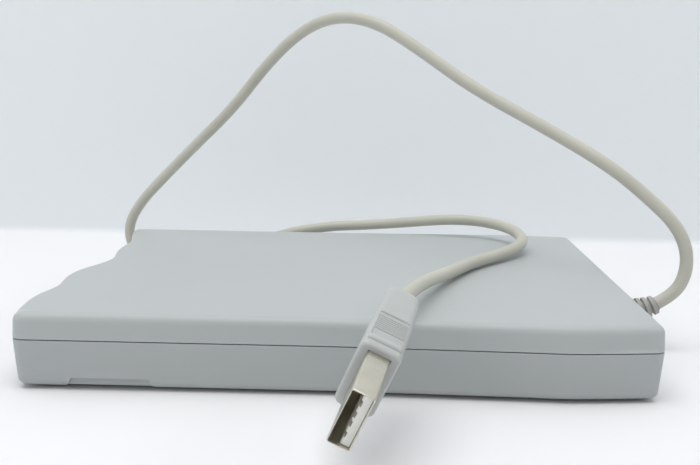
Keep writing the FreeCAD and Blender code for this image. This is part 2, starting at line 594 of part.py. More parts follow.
# ---- shutter lever ------------------------------------------------------------
LX, LY, LL, LZ, LM = n("lever_x"), -n("lever_y"), n("lever_len"), n("lever_z"), n("lever_mm")
a0 = math.radians(149.0)
tip_x, tip_y = LX + LL * math.cos(a0), LY + LL * math.sin(a0)
b = new_body()
ux, uy = math.cos(a0), math.sin(a0)
vx, vy = -uy, ux
loop = [(LX - 2.6 * ux + 2.8 * vx, LY - 2.6 * uy + 2.8 * vy), (LX - 2.6 * ux - 2.8 * vx, LY - 2.6 * uy - 2.8 * vy),
        (LX + 8 * ux - 2.4 * vx, LY + 8 * uy - 2.4 * vy), (tip_x + 1.4 * ux - 1.5 * vx, tip_y + 1.4 * uy - 1.5 * vy),
        (tip_x + 1.4 * ux + 1.5 * vx, tip_y + 1.4 * uy + 1.5 * vy), (LX + 8 * ux + 2.4 * vx, LY + 8 * uy + 2.4 * vy)]
s = new_sketch(b, "lever_z", [loop], [(LX, LY, 1.06)])
pad(b, s, "lever_mm")
finger = cyl((tip_x, tip_y, 10.6), 1.1, "lever_z+lever_mm/2-10.6")
node("shutter_lever", fuse(b, finger))
node("lever_post", fuse(cyl((LX, LY, 3.6), 1.0, 11.6), cyl((LX, LY, 3.6), 2.2, "lever_z-3.6-0.08")))

# ---- disk switches -------------------------------------------------------------
sw = []
for y in (-41.0, 34.2, 41.0):
    sw.append(cut(box((-49.0, y - 2.4, 3.6), (6.0, 4.8, 3.0)),
                  cyl(("plunger_x", y, 3.9), "plunger_r+0.06", 4)))
node("switch_bodies", group(*sw))
node("protect_plunger", cyl(("plunger_x", 41.0, 5.3), "plunger_r", 2.9))
node("density_plunger", cyl(("plunger_x", -41.0, 5.3), "plunger_r", 2.9))
node("disk_plunger", cyl(("plunger_x", 34.2, 5.3), "plunger_r", 2.9))

# ---- boards --------------------------------------------------------------------
b = new_body()
s = new_sketch(b, "board_z", [[(31.5, 15.0), (58.6, 15.0), (58.6, 43.0), (37.0, 43.0), (37.0, 40.0), (31.5, 40.0)]],
               [(34.5, 19.0, 1.1), (55.5, 39.5, 1.1)])
pad(b, s, "board_mm")
node("main_board", b)
node("board_chips", group(box((40.0, 22.0, "board_z+board_mm"), (10.0, 10.0, 1.4)), box((41.0, 34.6, "board_z+board_mm"), (6.0, 4.0, 1.2)),
                          box((52.2, 26.0, "board_z+board_mm"), (3.2, 5.0, 1.2)), box((52.0, 17.6, "board_z+board_mm"), (4.4, 2.4, 1.0))))
stand = [cyl((34.5, 19.0, 3.6), 2.0, "board_z-3.6"), cyl((55.5, 39.5, 3.6), 2.0, "board_z-3.6")]
node("board_standoffs", group(*stand))
bs = []
for x, y in ((34.5, 19.0), (55.5, 39.5)):
    bs.append(fuse(cyl((x, y, "board_z+board_mm"), 1.9, 0.9), cyl((x, y, "board_z"), 1.0, "board_mm")))
node("board_screws", group(*bs))
b = new_body()
s = new_sketch(b, 3.8, [rect(61.2, -30.0, 69.0, 34.0)])
pad(b, s, 1.0)
node("interface_board", b)
node("interface_chips", group(box((62.4, 4.0, 4.8), (5.6, 7.0, 1.3)), box((62.6, -8.0, 4.8), (4.6, 2.2, 2.6)), box((63.0, 15.0, 4.8), (4.0, 4.0, 1.1))))
node("cord_socket", cut(box((61.4, -24.5, 4.8), (4.2, 6.0, 4.0)), box((62.0, -18.9, 5.7), (3.0, 0.5, 2.6))))
# flat cable from the main board over the chassis edge to the interface board
node("flat_cable", feature(Part.makePolygon([Vector(56.0, 21.6, 6.65), Vector(58.0, 21.6, 6.65), Vector(58.9, 21.6, 12.05), Vector(60.4, 21.6, 12.05),
                                             Vector(63.0, 21.6, 6.65), Vector(65.2, 21.6, 6.65), Vector(65.2, 21.6, 6.85),
                                             Vector(63.15, 21.6, 6.85), Vector(60.55, 21.6, 12.25), Vector(58.75, 21.6, 12.25),
                                             Vector(57.85, 21.6, 6.85), Vector(56.0, 21.6, 6.85), Vector(56.0, 21.6, 6.65)]), "strip"))
flat = NODES[-1][1]
flat.Shape = Part.Face(Part.Wire(flat.Shape.Edges)).extrude(Vector(0, 4.0, 0))
node("cable_headers", group(box((55.4, 20.6, "board_z+board_mm"), (2.4, 6.0, 1.45)), box((63.4, 20.6, 4.8), (2.8, 6.0, 1.85))))
node("drive_screws", group(*[fuse(cyl((x, y, 3.6), 1.9, 0.28), cyl((x, y, "floor_z"), 0.8, 1.5)) for x, y in DRIVE_SCREWS]))

# ---- springs --------------------------------------------------------------------


def coil(p, axis, r, wire, turns, length):
    helix = Part.makeHelix(length / turns, length, r)
    prof = Part.Wire(Part.makeCircle(wire, Vector(r, 0, 0), Vector(0, 1, 0)))
    sh = Part.Wire(helix.Edges).makePipeShell([prof], True, False)
    sh.Placement = Placement(p, Rotation(Vector(0, 0, 1), axis))
    return sh


springs = [coil(Vector(-24.0, -40.6, 5.05), Vector(1, 0, 0), 1.2, 0.17, 22, 17.0),
           coil(Vector(-24.0, 40.6, 5.05), Vector(1, 0, 0), 1.2, 0.17, 22, 17.0)]
node("slider_springs", group(*[feature(s_, "spring") for s_ in springs]))
node("door_spring", feature(coil(Vector(door_x, 38.6, door_z), Vector(0, 1, 0), 0.62, 0.1, 9, 4.2), "spring"))

# ---- strain relief -----------------------------------------------------------------
start = Vector(BEND_X, EXIT.y, EXIT_Z0)
centre = Vector(BEND_X, EXIT.y, EXIT_Z0 + BEND_R)


def on_bend(t):
    """Point and direction at fraction t of the relief's bend."""
    a = bend * t
    return (Vector(BEND_X + BEND_R * math.sin(a), EXIT.y, EXIT_Z0 + BEND_R * (1 - math.cos(a))),
            Vector(math.cos(a), 0, math.sin(a)))


relief = scyl(66.8, EXIT.y, EXIT_Z0, 2.0, BEND_X - 66.8 + 0.01, (1, 0, 0))
relief = relief.fuse(scyl(67.5, EXIT.y, EXIT_Z0, 3.9, 1.9, (1, 0, 0)))
relief = relief.fuse(scyl(69.3, EXIT.y, EXIT_Z0, n("relief_r"), BEND_X - 69.3, (1, 0, 0)))
arc_edge = Part.Arc(on_bend(0)[0], on_bend(0.5)[0], on_bend(1)[0]).toShape()
corepipe = Part.Wire([arc_edge]).makePipeShell([Part.Wire(Part.makeCircle(2.0, on_bend(0)[0], on_bend(0)[1]))], True, False)
relief = relief.fuse(corepipe)
ribs = 5
for k in range(ribs):
    t0 = (k + 0.12) / ribs
    p, dv = on_bend(t0)
    rr = 3.75 - 0.3 * k
    relief = relief.fuse(Part.makeCone(rr, rr - 0.1, BEND_R * bend / ribs * 0.62, p, dv))
relief = relief.removeSplitter()
node("strain_relief", feature(relief, "relief"))

# inner end of the cord, from the relief to its socket
lead_pts = [Vector(66.8, EXIT.y, EXIT_Z0), Vector(63.5, EXIT.y, EXIT_Z0), Vector(63.5, EXIT.y - 6.5, 7.0)]


def round_path(points, factor=0.45, report=None):
    """Straight runs joined by tangent arcs, each as large as its two runs allow."""
    edges, last, radii = [], points[0], []
    for k in range(1, len(points) - 1):
        a, c, b_ = points[k - 1], points[k], points[k + 1]
        u, v = (c - a), (b_ - c)
        lu, lv = u.Length, v.Length
        u.normalize()
        v.normalize()
        turn = math.acos(max(-1.0, min(1.0, u.dot(v))))
        reach = factor * min(lu, lv)
        radius = reach / math.tan(turn / 2)
        radii.append(radius)
        t1, t2 = c - u * reach, c + v * reach
        inward = (v - u)
        inward.normalize()
        mid = c + inward * (radius / math.cos(turn / 2) - radius)
        if (t1 - last).Length > 1e-6:
            edges.append(Part.LineSegment(last, t1).toShape())
        edges.append(Part.Arc(t1, mid, t2).toShape())
        last = t2
    edges.append(Part.LineSegment(last, points[-1]).toShape())
    if report:
        print(report, "radii", " ".join("%.1f" % r for r in radii), "smallest %.2f" % min(radii))
    return Part.Wire(edges)


def tube(points, r, factor=0.45, report=None):
    path = round_path(points, factor, report)
    direction = points[1] - points[0]
    prof = Part.Wire(Part.makeCircle(r, points[0], direction))
    sh = path.makePipeShell([prof], True, False)
    if report:
        print(report, "length %.2f" % path.Length, "volume %.2f" % sh.Volume, "section x length %.2f" % (math.pi * r * r * path.Length))
    return sh


node("inner_lead", feature(tube(lead_pts, 1.1, 0.45, "inner lead"), "lead"))

# ---- cord ------------------------------------------------------------------------
CORD = [(80.65, -12.0, 12.3), (85.25, -12.0, 14.9), (87.75, -12.1, 20.6), (87.35, -11.8, 27.0), (84.35, -10.8, 32.8), (78.35, -8.0, 38.6),
        (69.15, -3.8, 46.2), (53.75, 3.2, 55.0), (34.35, 12.2, 65.2), (17.95, 19.6, 76.8), (6.95, 24.6, 83.2), (-4.25, 29.7, 84.4),
        (-14.25, 34.3, 80.0), (-24.25, 38.8, 70.6), (-35.05, 43.6, 57.2), (-49.05, 50.1, 44.0), (-59.85, 55.0, 33.4), (-68.45, 58.9, 24.6),
        (-73.15, 60.9, 16.4), (-71.75, 61.2, 8.4), (-66.25, 60.8, 3.0), (-58.05, 59.9, 1.75), (-49.25, 59.0, 2.5), (-38.45, 57.7, 7.9),
        (-24.65, 57.0, 14.6), (-8.05, 57.3, 18.2), (8.75, 55.6, 19.4), (22.35, 51.0, 21.5), (33.35, 47.6, 23.1), (43.55, 45.2, 22.9),
        (50.35, 37.8, 22.3), (52.75, 27.6, 21.3), (50.15, 18.6, 20.2), (42.75, 9.8, 19.45), (34.85, 0.4, 19.4), (28.25, -12.2, 19.6),
        (22.95, -25.2, 20.9), (18.75, -38.0, 22.3), (15.65, -49.0, 22.9), (13.41, -55.42, 22.28), (12.35, -60.5, 21.2)]
cord_pts = [Vector(*p) for p in CORD]
node("cord", feature(tube(cord_pts, n("cord_d") / 2, 0.45, "cord"), "cord"))

# ---- plug ------------------------------------------------------------------------
# Local frame: x across the narrow side, y along the tall side, z from the mouth back.
vz = Vector(0.2, 0.9585, 0.2035)
vz.normalize()
va = Vector(-0.37, 0.267, -0.89)
va = va - vz * va.dot(vz)
va.normalize()
vb = va.cross(vz)
total = n("shell_out") + n("mold_c")
origin = cord_pts[-1] - vz * total
mat = Matrix(vb.x, va.x, vz.x, origin.x, vb.y, va.y, vz.y, origin.y, vb.z, va.z, vz.z, origin.z, 0, 0, 0, 1)
PLUG = Placement(mat)
SA, SB, SO, SI, SM = n("shell_a"), n("shell_b"), n("shell_out"), n("shell_in"), n("shell_mm")


def rbox(x, y, z0, z1, r):
    """Box centred on the local axis with its long edges rounded."""
    b_ = Part.makeBox(x, y, z1 - z0, Vector(-x / 2, -y / 2, z0))
    es = [e for e in b_.Edges if e.BoundBox.ZLength > 0.9 * (z1 - z0)]
    return b_.makeFillet(r, es)


def placed(shape, label):
    f = feature(shape, "plug")
    f.Placement = PLUG
    return node(label, f)


shell = rbox(SB, SA, 0, SO + SI, 0.55).cut(rbox(SB - 2 * SM, SA - 2 * SM, -1, SO + SI - SM, 0.3))
for sx in (-1, 1):
    for y in (-2.9, 2.9):
        shell = shell.cut(Part.makeBox(1.0, 2.2, 2.4, Vector(sx * SB / 2 - 0.5, y - 1.1, 5.2)))
placed(shell, "plug_shell")
ins_x1 = SB / 2 - SM
ins = Part.makeBox(1.85, SA - 2 * SM, SO + SI - SM - 0.7, Vector(ins_x1 - 1.85, -(SA - 2 * SM) / 2, 0.7))
es = [e for e in ins.Edges if e.BoundBox.ZLength > 5]
ins = ins.makeFillet(0.28, es)
placed(ins, "plug_insulator")
strips = []
for y, z0 in ((-3.5, 1.8), (-1.0, 2.8), (1.0, 2.8), (3.5, 1.8)):
    strips.append(feature(Part.makeBox(0.12, 1.1, 10.6 - z0, Vector(ins_x1 - 1.85 - 0.12, y - 0.55, z0)), "strip"))
for s_ in strips:
    s_.Placement = PLUG
node("plug_contacts", group(*strips))

MA, MB, MC = n("mold_a"), n("mold_b"), n("mold_c")


def oval(x, y, z, r):
    """Rounded rectangle in a plane across the plug's axis."""
    hx, hy = x / 2, y / 2
    q = r * (1 - math.sqrt(0.5))
    P = [(-hx + r, -hy), (hx - r, -hy), (hx, -hy + r), (hx, hy - r), (hx - r, hy), (-hx + r, hy), (-hx, hy - r), (-hx, -hy + r)]
    M = [(hx - q, -hy + q), (hx - q, hy - q), (-hx + q, hy - q), (-hx + q, -hy + q)]
    v = [Vector(a, b_, z) for a, b_ in P]
    m = [Vector(a, b_, z) for a, b_ in M]
    es_ = [Part.LineSegment(v[0], v[1]).toShape(), Part.Arc(v[1], m[0], v[2]).toShape(), Part.LineSegment(v[2], v[3]).toShape(),
           Part.Arc(v[3], m[1], v[4]).toShape(), Part.LineSegment(v[4], v[5]).toShape(), Part.Arc(v[5], m[2], v[6]).toShape(),
           Part.LineSegment(v[6], v[7]).toShape(), Part.Arc(v[7], m[3], v[0]).toShape()]
    return Part.Wire(es_)


# grip: distance behind the shell's shoulder, both widths, corner radius
GRIP = [(0.0, 7.0, 13.8, 1.3), (0.5, 7.85, 14.65, 1.5), (1.0, 8.0, 14.8, 1.55), (12.6, 7.75, 14.55, 1.5), (22.0, 7.45, 14.1, 1.7),
        (24.2, 7.3, 13.8, 1.8), (25.2, 7.0, 13.3, 1.9), (25.8, 6.5, 12.6, 1.9), (MC, 5.0, 11.0, 1.7)]
mold = Part.makeLoft([oval(MB - 8.0 + x, MA - 14.8 + y, SO + z, r) for z, x, y, r in GRIP], True, True)
mold = mold.cut(rbox(SB, SA, SO - 1, SO + SI, 0.55))
placed(mold.removeSplitter(), "plug_overmold")

# ---- checks and output -------------------------------------------------------------
doc.recompute()
bad = [o.Name for o in doc.Objects if ("Invalid" in o.State or "Error" in o.State)]
if bad:
    raise RuntimeError("failed objects: %s" % bad)
os.makedirs("parts", exist_ok=True)
names = set()
for name, obj in NODES:
    sh = obj.Shape
    if sh.isNull() or not sh.isValid() or not sh.Solids:
        raise RuntimeError("bad shape: " + name)
    if name in names:
        raise RuntimeError("twice: " + name)
    names.add(name)
for old in os.listdir("parts"):
    if old.endswith(".step") and old[:-5] not in names:
        os.remove(os.path.join("parts", old))
for name, obj in NODES:
    obj.Shape.exportStep("parts/%s.step" % name)
    bb = obj.Shape.BoundBox
    print("%-18s solids %d volume %9.2f  x %.2f..%.2f y %.2f..%.2f z %.2f..%.2f" % (
        name, len(obj.Shape.Solids), obj.Shape.Volume, bb.XMin, bb.XMax, bb.YMin, bb.YMax, bb.ZMin, bb.ZMax))
print(len(NODES), "nodes")
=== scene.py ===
import math

import bmesh
import bpy
from mathutils import Matrix, Vector


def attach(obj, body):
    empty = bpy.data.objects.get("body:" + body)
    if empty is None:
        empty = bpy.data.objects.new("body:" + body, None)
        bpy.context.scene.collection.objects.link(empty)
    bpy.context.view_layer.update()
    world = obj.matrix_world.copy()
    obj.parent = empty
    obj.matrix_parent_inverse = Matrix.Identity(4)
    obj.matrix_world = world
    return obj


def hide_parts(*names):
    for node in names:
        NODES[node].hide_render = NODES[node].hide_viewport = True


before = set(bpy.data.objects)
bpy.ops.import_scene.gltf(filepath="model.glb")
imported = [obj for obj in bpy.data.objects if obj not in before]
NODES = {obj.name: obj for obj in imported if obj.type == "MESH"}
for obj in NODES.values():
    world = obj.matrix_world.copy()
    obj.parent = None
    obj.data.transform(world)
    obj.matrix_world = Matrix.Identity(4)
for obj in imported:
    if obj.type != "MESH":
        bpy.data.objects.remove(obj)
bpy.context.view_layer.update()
scene = bpy.context.scene

# ---------------------------------------------------------------- camera
YAW, PITCH, ROLL = math.radians(-1.09), math.radians(10.53), math.radians(0.93)
r0 = Vector((math.cos(YAW), -math.sin(YAW), 0))
fwd = Vector((math.sin(YAW) * math.cos(PITCH), math.cos(YAW) * math.cos(PITCH), -math.sin(PITCH)))
u0 = r0.cross(fwd)
right = r0 * math.cos(ROLL) + u0 * math.sin(ROLL)
up = u0 * math.cos(ROLL) - r0 * math.sin(ROLL)
cam_data = bpy.data.cameras.new("camera")
cam = bpy.data.objects.new("camera", cam_data)
scene.collection.objects.link(cam)
rot = Matrix((right, up, -fwd)).transposed()
cam.matrix_world = Matrix.Translation(Vector((0.00675, -0.2476, 0.0730))) @ rot.to_4x4()
cam_data.sensor_width = 36.0
cam_data.lens = 945.0 / 700.0 * 36.0
cam_data.clip_start = 0.005
cam_data.clip_end = 10
scene.camera = cam


# ---------------------------------------------------------------- materials
def mat(name, base, rough=0.5, metal=0.0, var=0.05, scale=60.0, bump=0.1, bump_scale=900.0, bump_dist=0.00005,
        spec=0.5, rough_var=0.08, sheen=0.0, trans=0.0, ior=1.45, coat=0.0, aniso=None, wear=None, sub=0.0, stretch=(1, 1, 1)):
    """Moulded plastic, plated sheet or rubber: broad colour drift, fine grain and uneven gloss, all from noise in object space."""
    m = bpy.data.materials.new(name)
    m.use_nodes = True
    nt = m.node_tree
    nt.nodes.clear()
    out = nt.nodes.new("ShaderNodeOutputMaterial")
    bs = nt.nodes.new("ShaderNodeBsdfPrincipled")
    nt.links.new(bs.outputs[0], out.inputs[0])
    bs.inputs["Metallic"].default_value = metal
    bs.inputs["IOR"].default_value = ior
    bs.inputs["Specular IOR Level"].default_value = spec
    if trans:
        bs.inputs["Transmission Weight"].default_value = trans
    if coat:
        bs.inputs["Coat Weight"].default_value = coat
        bs.inputs["Coat Roughness"].default_value = 0.2
    if sub:
        bs.inputs["Subsurface Weight"].default_value = sub
        bs.inputs["Subsurface Scale"].default_value = 0.002
        bs.inputs["Subsurface Radius"].default_value = (1.0, 0.9, 0.8)
    tc = nt.nodes.new("ShaderNodeTexCoord")
    mp = nt.nodes.new("ShaderNodeMapping")
    mp.inputs["Scale"].default_value = stretch
    nt.links.new(tc.outputs["Object"], mp.inputs[0])
    n1 = nt.nodes.new("ShaderNodeTexNoise")
    n1.inputs["Scale"].default_value = scale
    n1.inputs["Detail"].default_value = 4
    nt.links.new(mp.outputs[0], n1.inputs[0])
    ramp = nt.nodes.new("ShaderNodeValToRGB")
    lo = [max(0, c * (1 - var)) for c in base] + [1]
    hi = [min(1, c * (1 + var)) for c in base] + [1]
    ramp.color_ramp.elements[0].position = 0.3
    ramp.color_ramp.elements[1].position = 0.7
    ramp.color_ramp.elements[0].color = lo
    ramp.color_ramp.elements[1].color = hi
    nt.links.new(n1.outputs[0], ramp.inputs[0])
    colour = ramp.outputs[0]
    n2 = nt.nodes.new("ShaderNodeTexNoise")
    n2.inputs["Scale"].default_value = bump_scale
    n2.inputs["Detail"].default_value = 3
    nt.links.new(mp.outputs[0], n2.inputs[0])
    # gloss varies in soft patches, as handled plastic does
    n3 = nt.nodes.new("ShaderNodeTexNoise")
    n3.inputs["Scale"].default_value = scale * 0.6 + 11
    n3.inputs["Detail"].default_value = 5
    nt.links.new(tc.outputs["Object"], n3.inputs[0])
    mr = nt.nodes.new("ShaderNodeMapRange")
    mr.inputs["To Min"].default_value = max(0.02, rough - rough_var)
    mr.inputs["To Max"].default_value = min(1.0, rough + rough_var)
    nt.links.new(n3.outputs[0], mr.inputs[0])
    nt.links.new(mr.outputs[0], bs.inputs["Roughness"])
    if wear:
        # light rub along edges, found from the surface's own curvature
        geo = nt.nodes.new("ShaderNodeNewGeometry")
        er = nt.nodes.new("ShaderNodeValToRGB")
        er.color_ramp.elements[0].position = 0.50
        er.color_ramp.elements[1].position = 0.62
        nt.links.new(geo.outputs["Pointiness"], er.inputs[0])
        mul = nt.nodes.new("ShaderNodeMath")
        mul.operation = "MULTIPLY"
        nt.links.new(er.outputs[0], mul.inputs[0])
        nt.links.new(n3.outputs[0], mul.inputs[1])
        mx = nt.nodes.new("ShaderNodeMix")
        mx.data_type = "RGBA"
        nt.links.new(mul.outputs[0], mx.inputs[0])
        nt.links.new(colour, mx.inputs[6])
        mx.inputs[7].default_value = list(wear) + [1]
        colour = mx.outputs[2]
    nt.links.new(colour, bs.inputs["Base Color"])
    bp = nt.nodes.new("ShaderNodeBump")
    bp.inputs["Strength"].default_value = bump
    bp.inputs["Distance"].default_value = bump_dist
    nt.links.new(n2.outputs[0], bp.inputs["Height"])
    nt.links.new(bp.outputs[0], bs.inputs["Normal"])
    return m


def lin(r, g, b):
    """8-bit display colour to linear."""
    return [((c / 255.0) / 12.92 if c <= 10 else ((c / 255.0 + 0.055) / 1.055) ** 2.4) for c in (r, g, b)]


M = {
    "case": mat("case_plastic", lin(180, 185, 185), 0.42, var=0.02, scale=25, bump=0.25, bump_scale=2600, bump_dist=0.00002, wear=lin(203, 208, 208), spec=0.45),
    "base": mat("base_plastic", lin(176, 181, 181), 0.46, var=0.025, scale=25, bump=0.3, bump_scale=2600, bump_dist=0.00002, wear=lin(193, 196, 198), spec=0.4),
    "button": mat("button_plastic", lin(170, 181, 183), 0.4, var=0.03, scale=90, bump=0.25, bump_scale=2600, bump_dist=0.00002, wear=lin(205, 213, 214)),
    "dark": mat("dark_plastic", lin(46, 48, 50), 0.5, var=0.12, scale=120, bump=0.3, bump_scale=2200, bump_dist=0.00003),
    "black": mat("black_plastic", lin(28, 28, 30), 0.45, var=0.15, scale=150, bump=0.3, bump_scale=1800, bump_dist=0.00003, wear=lin(80, 80, 82)),
    "lamp": mat("lamp_plastic", lin(150, 205, 150), 0.18, var=0.04, scale=200, bump=0.05, trans=0.75, ior=1.49),
    "rubber": mat("foot_rubber", lin(40, 40, 42), 0.78, var=0.15, scale=220, bump=0.5, bump_scale=1600, bump_dist=0.00006, wear=lin(90, 88, 84)),
    "zinc": mat("zinc_steel", lin(196, 198, 200), 0.34, metal=1.0, var=0.07, scale=140, bump=0.12, bump_scale=1500, bump_dist=0.00003, rough_var=0.12, stretch=(1, 8, 1)),
    "steel": mat("ground_steel", lin(214, 214, 216), 0.2, metal=1.0, var=0.05, scale=300, bump=0.12, bump_scale=3000, bump_dist=0.00002, stretch=(9, 1, 1)),
    "spring": mat("spring_steel", lin(190, 191, 194), 0.26, metal=1.0, var=0.08, scale=300, bump=0.15, bump_scale=2500, bump_dist=0.00002),
    "blackscrew": mat("screw_steel", lin(42, 42, 45), 0.38, metal=0.8, var=0.12, scale=300, bump=0.25, bump_scale=2200, bump_dist=0.00003, wear=lin(150, 150, 152)),
    "board": mat("circuit_board", lin(28, 92, 58), 0.35, var=0.18, scale=420, bump=0.3, bump_scale=700, bump_dist=0.00004, coat=0.3),
    "chip": mat("chip_plastic", lin(32, 32, 34), 0.6, var=0.1, scale=300, bump=0.35, bump_scale=2600, bump_dist=0.00003),
    "ivory": mat("connector_plastic", lin(222, 214, 190), 0.45, var=0.04, scale=200, bump=0.2, bump_scale=1800, bump_dist=0.00003, sub=0.05),
    "copper": mat("copper_wire", lin(196, 110, 62), 0.28, metal=1.0, var=0.12, scale=400, bump=0.6, bump_scale=1900, bump_dist=0.00008, stretch=(1, 1, 6)),
    "iron": mat("core_iron", lin(112, 114, 118), 0.5, metal=0.9, var=0.12, scale=300, bump=0.5, bump_scale=1400, bump_dist=0.00006, stretch=(1, 1, 9)),
    "magnet": mat("magnet_ferrite", lin(44, 44, 47), 0.65, var=0.15, scale=240, bump=0.4, bump_scale=1900, bump_dist=0.00004),
    "bronze": mat("bronze", lin(178, 140, 86), 0.42, metal=1.0, var=0.12, scale=260, bump=0.3, bump_scale=2200, bump_dist=0.00003),
    "ceramic": mat("head_ceramic", lin(218, 212, 196), 0.12, var=0.05, scale=420, bump=0.05, bump_scale=2600, bump_dist=0.00001),
    "film": mat("flex_film", lin(214, 212, 202), 0.32, var=0.04, scale=200, bump=0.3, bump_scale=500, bump_dist=0.00003, stretch=(1, 12, 1)),
    "relief": mat("relief_plastic", lin(172, 171, 166), 0.5, var=0.08, scale=190, bump=0.35, bump_scale=1500, bump_dist=0.00004),
    "cord": mat("cord_jacket", lin(194, 193, 181), 0.38, var=0.045, scale=70, bump=0.35, bump_scale=900, bump_dist=0.00003, spec=0.5, sub=0.03, rough_var=0.1),
    "plug": mat("plug_plastic", lin(182, 185, 184), 0.46, var=0.03, scale=120, bump=0.35, bump_scale=2400, bump_dist=0.00003, sub=0.06, wear=lin(208, 214, 210)),
    "nickel": mat("plug_nickel", lin(208, 204, 190), 0.3, metal=0.9, var=0.05, scale=220, bump=0.1, bump_scale=1600, bump_dist=0.00002, rough_var=0.1, stretch=(1, 1, 3)),
    "white": mat("insulator_plastic", lin(236, 236, 230), 0.42, var=0.025, scale=260, bump=0.15, bump_scale=1800, bump_dist=0.00002, sub=0.08),
    "gold": mat("gold_contact", lin(220, 178, 96), 0.22, metal=1.0, var=0.08, scale=500, bump=0.15, bump_scale=2400, bump_dist=0.00002, stretch=(1, 4, 1)),
}
KINDS = dict(
    bottom_cover="base", top_cover="case", rubber_feet="rubber", case_screws="blackscrew", front_bezel="dark", eject_button="button",
    activity_lamp="lamp", dust_door="dark", door_wire="spring", chassis_plate="zinc", drive_top_plate="zinc", disk_holder="zinc",
    slider_plate="zinc", motor_board="board", bearing_sleeve="bronze", stator_core="iron", stator_coils="copper", spindle_rotor="zinc",
    rotor_magnet="magnet", hub_table="black", spindle_shaft="steel", drive_pin="steel", head_carriage="black", lower_head="ceramic",
    carriage_needle="steel", arm_pin="steel", head_arm="spring", upper_head="ceramic", guide_rod="steel", rod_clips="black",
    lead_screw="steel", screw_bearing="ivory", stepper_motor="zinc", stepper_strap="zinc", track_sensor="chip", shutter_lever="zinc",
    lever_post="steel", switch_bodies="chip", protect_plunger="ivory", density_plunger="ivory", disk_plunger="ivory", main_board="board",
    board_chips="chip", board_standoffs="zinc", board_screws="zinc", interface_board="board", interface_chips="chip", cord_socket="ivory",
    flat_cable="film", cable_headers="ivory", drive_screws="zinc", slider_springs="spring", door_spring="spring", strain_relief="relief",
    inner_lead="cord", cord="cord", plug_shell="nickel", plug_insulator="white", plug_contacts="gold", plug_overmold="plug")
for name, o in NODES.items():
    while len(o.data.materials) > 1:
        o.data.materials.pop()
    if not o.data.materials:
        o.data.materials.append(M[KINDS[name]])
    for s in o.material_slots:
        s.material = M[KINDS[name]]


def link(name, mesh, kind, body="case", smooth=None):
    o = bpy.data.objects.new(name, mesh)
    scene.collection.objects.link(o)
    o.data.materials.append(M[kind])
    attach(o, body)
    if smooth is not None:
        for p in mesh.polygons:
            p.use_smooth = True
        e = o.modifiers.new("edges", "EDGE_SPLIT")
        e.split_angle = math.radians(smooth)
    return o


def smooth_table(points, steps=240):
    """The natural cubic spline through (t, v) points, returned as a function of t."""
    n = len(points)
    t = [p[0] for p in points]
    v = [p[1] for p in points]
    h = [t[i + 1] - t[i] for i in range(n - 1)]
    a = [0.0] * n
    b = [1.0] * n
    c = [0.0] * n
    d = [0.0] * n
    for i in range(1, n - 1):
        a[i], b[i], c[i] = h[i - 1], 2 * (h[i - 1] + h[i]), h[i]
        d[i] = 6 * ((v[i + 1] - v[i]) / h[i] - (v[i] - v[i - 1]) / h[i - 1])
    for i in range(1, n):
        w = a[i] / b[i - 1]
        b[i] -= w * c[i - 1]
        d[i] -= w * d[i - 1]
    m = [0.0] * n
    m[-1] = d[-1] / b[-1]
    for i in range(n - 2, -1, -1):
        m[i] = (d[i] - c[i] * m[i + 1]) / b[i]

    def f(x):
        x = max(t[0], min(t[-1], x))
        i = max(0, min(n - 2, sum(1 for q in t if q <= x) - 1))
        A = (t[i + 1] - x) / h[i]
        B = 1 - A
        return A * v[i] + B * v[i + 1] + ((A ** 3 - A) * m[i] + (B ** 3 - B) * m[i + 1]) * h[i] ** 2 / 6
    return f


# ---------------------------------------------------------------- cord
ROUTE = [(80.65, -12.0, 12.3), (85.25, -12.0, 14.9), (87.75, -12.1, 20.6), (87.35, -11.8, 27.0), (84.35, -10.8, 32.8), (78.35, -8.0, 38.6),
         (69.15, -3.8, 46.2), (53.75, 3.2, 55.0), (34.35, 12.2, 65.2), (17.95, 19.6, 76.8), (6.95, 24.6, 83.2), (-4.25, 29.7, 84.4),
         (-14.25, 34.3, 80.0), (-24.25, 38.8, 70.6), (-35.05, 43.6, 57.2), (-49.05, 50.1, 44.0), (-59.85, 55.0, 33.4), (-68.45, 58.9, 24.6),
         (-73.15, 60.9, 16.4), (-71.75, 61.2, 8.4), (-66.25, 60.8, 3.0), (-58.05, 59.9, 1.75), (-49.25, 59.0, 2.5), (-38.45, 57.7, 7.9),
         (-24.65, 57.0, 14.6), (-8.05, 57.3, 18.2), (8.75, 55.6, 19.4), (22.35, 51.0, 21.5), (33.35, 47.6, 23.1), (43.55, 45.2, 22.9),
         (50.35, 37.8, 22.3), (52.75, 27.6, 21.3), (50.15, 18.6, 20.2), (42.75, 9.8, 19.45), (34.85, 0.4, 19.4), (28.25, -12.2, 19.6),
         (22.95, -25.2, 20.9), (18.75, -38.0, 22.3), (15.65, -49.0, 22.9), (13.41, -55.42, 22.28), (12.35, -60.5, 21.2)]
CORD_D = 0.0033
crv = bpy.data.curves.new("cord_line", "CURVE")
crv.dimensions = "3D"
sp = crv.splines.new("NURBS")
sp.points.add(len(ROUTE) - 1)
for p, q in zip(sp.points, ROUTE):
    p.co = (q[0] / 1000, q[1] / 1000, q[2] / 1000, 1)
sp.order_u = 3
sp.use_endpoint_u = True
crv.resolution_u = 14
crv.bevel_depth = CORD_D / 2
crv.bevel_resolution = 8
crv.use_fill_caps = True
line = bpy.data.objects.new("cord_line", crv)
scene.collection.objects.link(line)


def as_mesh(obj, name):
    dg = bpy.context.evaluated_depsgraph_get()
    dg.update()
    me = bpy.data.meshes.new_from_object(obj.evaluated_get(dg))
    me.name = name
    return me


